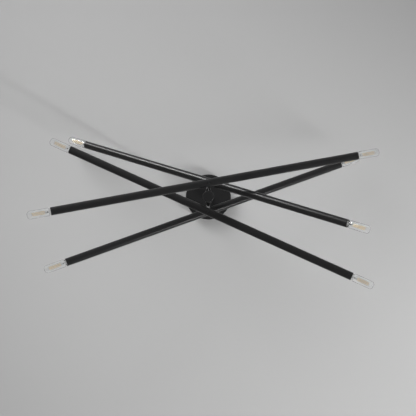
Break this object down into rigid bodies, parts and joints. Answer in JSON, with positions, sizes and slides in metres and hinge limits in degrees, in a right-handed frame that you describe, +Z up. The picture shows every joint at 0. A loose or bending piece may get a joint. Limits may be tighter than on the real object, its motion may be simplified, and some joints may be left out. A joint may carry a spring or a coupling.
{
  "type": "ceiling light",
  "caption": "Ceiling light: crossed black tubes with a lamp in each end, stacked on a rigid stem, each on a swivelling and tilting arm.",
  "frame": {"origin": "centre of the canopy on the ceiling plane, midway between the two ceiling screw slots", "axes": "+Z up into the ceiling, +X along the ceiling bracket, +Y across it; the arms point along +Y and -Y"},
  "size_m": [0.8696, 0.3866, 0.4505],
  "materials": {
    "satin_black": "satin powder coat, nearly black",
    "zinc_steel": "bright zinc plate",
    "dark_steel": "black oxide",
    "ground_green": "green passivated screw",
    "brass_block": "turned, bare",
    "black_nylon": "moulded nylon",
    "socket_black": "moulded phenolic",
    "white_plastic": "moulded nylon",
    "cable_sheath": "soft black sheath",
    "lamp_base_metal": "nickel plated shell",
    "lamp_glass": "clear, polished",
    "lamp_filament": "phosphor coated filament rods on clear glass mount"
  },
  "bodies": {
    "root": {"canopy": "satin_black", "canopy_collar": "satin_black", "stem_tube": "satin_black", "stem_end_cap": "satin_black", "ceiling_bracket": "zinc_steel", "bracket_boss": "zinc_steel", "ground_screw": "ground_green", "stem_lock_washer": "zinc_steel", "stem_lock_nut": "zinc_steel", "collar_grub_screw": "dark_steel", "hub_grub_screws": "dark_steel", "arm_keeper_screws": "dark_steel", "friction_washers": "black_nylon", "terminal_block": "white_plastic", "stem_cable": "cable_sheath", "swivel_hub_1": "satin_black", "swivel_hub_2": "satin_black", "swivel_hub_3": "satin_black", "swivel_hub_4": "satin_black"},
    "arm_1": {"arm_1": "satin_black"},
    "tube_1": {"hinge_pin_1": "dark_steel", "pivot_block_1": "brass_block", "tube_1": "satin_black", "lamp_sockets_1": "socket_black", "lamp_leads_1": "cable_sheath", "lamp_bases_1": "lamp_base_metal", "lamp_glass_1": "lamp_glass", "lamp_filaments_1": "lamp_filament"},
    "arm_2": {"arm_2": "satin_black"},
    "tube_2": {"hinge_pin_2": "dark_steel", "pivot_block_2": "brass_block", "tube_2": "satin_black", "lamp_sockets_2": "socket_black", "lamp_leads_2": "cable_sheath", "lamp_bases_2": "lamp_base_metal", "lamp_glass_2": "lamp_glass", "lamp_filaments_2": "lamp_filament"},
    "arm_3": {"arm_3": "satin_black"},
    "tube_3": {"hinge_pin_3": "dark_steel", "pivot_block_3": "brass_block", "tube_3": "satin_black", "lamp_sockets_3": "socket_black", "lamp_leads_3": "cable_sheath", "lamp_bases_3": "lamp_base_metal", "lamp_glass_3": "lamp_glass", "lamp_filaments_3": "lamp_filament"},
    "arm_4": {"arm_4": "satin_black"},
    "tube_4": {"hinge_pin_4": "dark_steel", "pivot_block_4": "brass_block", "tube_4": "satin_black", "lamp_sockets_4": "socket_black", "lamp_leads_4": "cable_sheath", "lamp_bases_4": "lamp_base_metal", "lamp_glass_4": "lamp_glass", "lamp_filaments_4": "lamp_filament"}
  },
  "joints": [
    {"name": "tube_1_tilt", "type": "hinge", "parent": "root", "child": "arm_1", "pos_m": [0, -0.0338, -0.336], "axis": [0, -1, 0], "range_deg": [-15, 15]},
    {"name": "tube_1_swing", "type": "hinge", "parent": "arm_1", "child": "tube_1", "pos_m": [0, -0.0338, -0.336], "axis": [-0.1908, 0, 0.9816], "range_deg": [-18, 10]},
    {"name": "tube_2_tilt", "type": "hinge", "parent": "root", "child": "arm_2", "pos_m": [0, 0.0386, -0.288], "axis": [0, -1, 0], "range_deg": [-15, 15]},
    {"name": "tube_2_swing", "type": "hinge", "parent": "arm_2", "child": "tube_2", "pos_m": [0, 0.0386, -0.288], "axis": [0.1513, 0, 0.9885], "range_deg": [-15, 6]},
    {"name": "tube_3_tilt", "type": "hinge", "parent": "root", "child": "arm_3", "pos_m": [0, -0.0386, -0.24], "axis": [0, -1, 0], "range_deg": [-2, 15]},
    {"name": "tube_3_swing", "type": "hinge", "parent": "arm_3", "child": "tube_3", "pos_m": [0, -0.0386, -0.24], "axis": [0.4695, 0, 0.8829], "range_deg": [-10, 14]},
    {"name": "tube_4_tilt", "type": "hinge", "parent": "root", "child": "arm_4", "pos_m": [0, 0.0386, -0.192], "axis": [0, -1, 0], "range_deg": [-12, 6]},
    {"name": "tube_4_swing", "type": "hinge", "parent": "arm_4", "child": "tube_4", "pos_m": [0, 0.0386, -0.192], "axis": [-0.274, 0, 0.9617], "range_deg": [-10, 15]}
  ]
}
